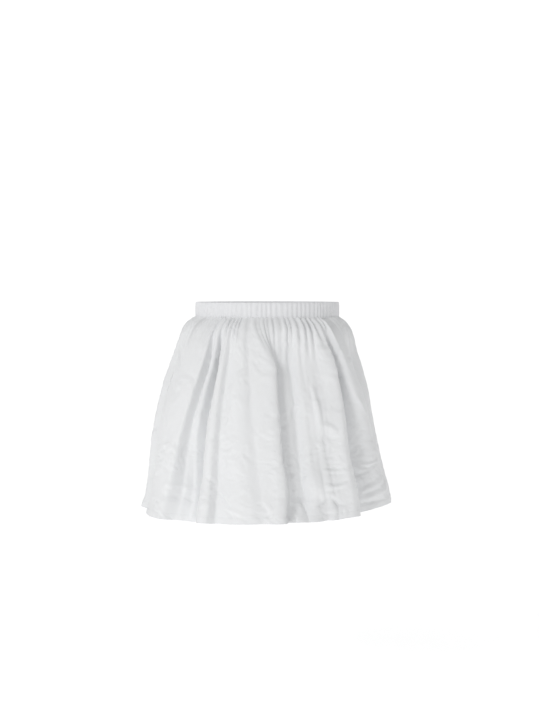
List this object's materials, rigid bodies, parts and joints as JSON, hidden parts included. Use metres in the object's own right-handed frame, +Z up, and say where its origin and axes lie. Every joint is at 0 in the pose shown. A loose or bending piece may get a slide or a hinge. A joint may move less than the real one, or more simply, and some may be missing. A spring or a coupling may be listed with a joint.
{
  "type": "greek fustanella skirt",
  "caption": "Knee-length flared white cotton skirt, gathered into a narrow elastic waistband, hanging in soft uneven folds with a turned hem.",
  "frame": {"origin": "centre of the waistband's top edge, where the wearer's waist holds the skirt", "axes": "+Z up, along the wearer; -Y is the skirt's back and +Y its front; +X is on the right of someone who looks at the back"},
  "size_m": [0.6542, 0.5448, 0.5488],
  "materials": {
    "cotton": "matt plain-weave white cotton, softly crumpled",
    "band": "the same white cotton, puckered over an elastic",
    "thread": "white sewing thread"
  },
  "bodies": {
    "root": {"waistband": "band", "back_panel": "cotton", "front_panel": "cotton"}
  },
  "joints": []
}
